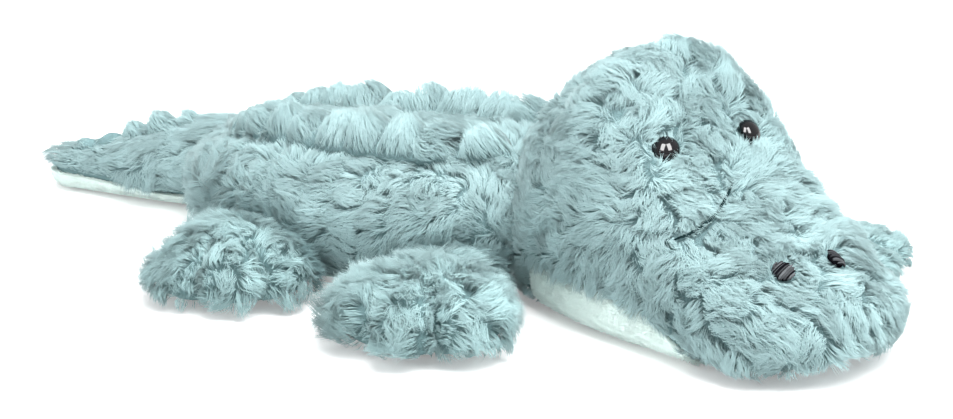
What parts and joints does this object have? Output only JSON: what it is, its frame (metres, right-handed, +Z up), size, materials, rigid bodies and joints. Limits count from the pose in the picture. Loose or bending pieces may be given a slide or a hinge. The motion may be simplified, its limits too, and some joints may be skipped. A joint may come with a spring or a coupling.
{
  "type": "plush crocodile",
  "caption": "Stuffed toy crocodile in long soft pile, lying on its belly with its head turned, pale chin and belly panels, glossy domed eyes and stitched nostrils.",
  "frame": {"origin": "on the floor, on the flat of the belly, below the middle of the body", "axes": "+Z up, the animal faces -Y with its right side at -X"},
  "size_m": [0.2542, 0.4478, 0.1122],
  "materials": {
    "fur_teal": "long pile",
    "fur_foot": "long tousled pile",
    "cloth_mint": "short pile",
    "fibre_white": "loose fibre",
    "eye_black": "glossy",
    "thread_black": "embroidered satin stitch",
    "washer_white": "satin"
  },
  "bodies": {
    "body": {"body_cover": "fur_teal", "belly_panel": "cloth_mint", "body_stuffing": "fibre_white", "back_ridge_right": "fur_teal", "back_ridge_left": "fur_teal"},
    "head": {"head_cover": "fur_teal", "chin_panel": "cloth_mint", "head_stuffing": "fibre_white", "eye_right": "eye_black", "eye_left": "eye_black", "eye_washer_right": "washer_white", "eye_washer_left": "washer_white", "nostril_right": "thread_black", "nostril_left": "thread_black"},
    "tail": {"tail_cover": "fur_teal", "tail_panel": "cloth_mint", "tail_stuffing": "fibre_white", "tail_ridge": "fur_teal"},
    "front_leg_right": {"front_leg_right_cover": "fur_foot", "front_leg_right_stuffing": "fibre_white"},
    "front_leg_left": {"front_leg_left_cover": "fur_foot", "front_leg_left_stuffing": "fibre_white"},
    "rear_leg_right": {"rear_leg_right_cover": "fur_foot", "rear_leg_right_stuffing": "fibre_white"},
    "rear_leg_left": {"rear_leg_left_cover": "fur_foot", "rear_leg_left_stuffing": "fibre_white"}
  },
  "joints": [
    {"name": "head_turn", "type": "hinge", "parent": "body", "child": "head", "pos_m": [0.031, -0.1125, 0], "axis": [0, 0, 1], "range_deg": [-14, 0], "stiffness_Nm_per_rad": 0.08},
    {"name": "tail_swing", "type": "hinge", "parent": "body", "child": "tail", "pos_m": [0.008, 0.108, 0], "axis": [0, 0, 1], "range_deg": [-20, 20], "stiffness_Nm_per_rad": 0.04},
    {"name": "front_leg_right_swing", "type": "hinge", "parent": "body", "child": "front_leg_right", "pos_m": [-0.04096, -0.06639, 0], "axis": [0, 0, 1], "range_deg": [-8, 12], "stiffness_Nm_per_rad": 0.03},
    {"name": "front_leg_left_swing", "type": "hinge", "parent": "body", "child": "front_leg_left", "pos_m": [0.10854, -0.088, 0], "axis": [0, 0, 1], "range_deg": [0, 22], "stiffness_Nm_per_rad": 0.03},
    {"name": "rear_leg_right_swing", "type": "hinge", "parent": "body", "child": "rear_leg_right", "pos_m": [-0.0512, 0.04846, 0], "axis": [0, 0, 1], "range_deg": [-12, 6], "stiffness_Nm_per_rad": 0.03},
    {"name": "rear_leg_left_swing", "type": "hinge", "parent": "body", "child": "rear_leg_left", "pos_m": [0.04403, 0.05398, 0], "axis": [0, 0, 1], "range_deg": [-6, 12], "stiffness_Nm_per_rad": 0.03}
  ]
}
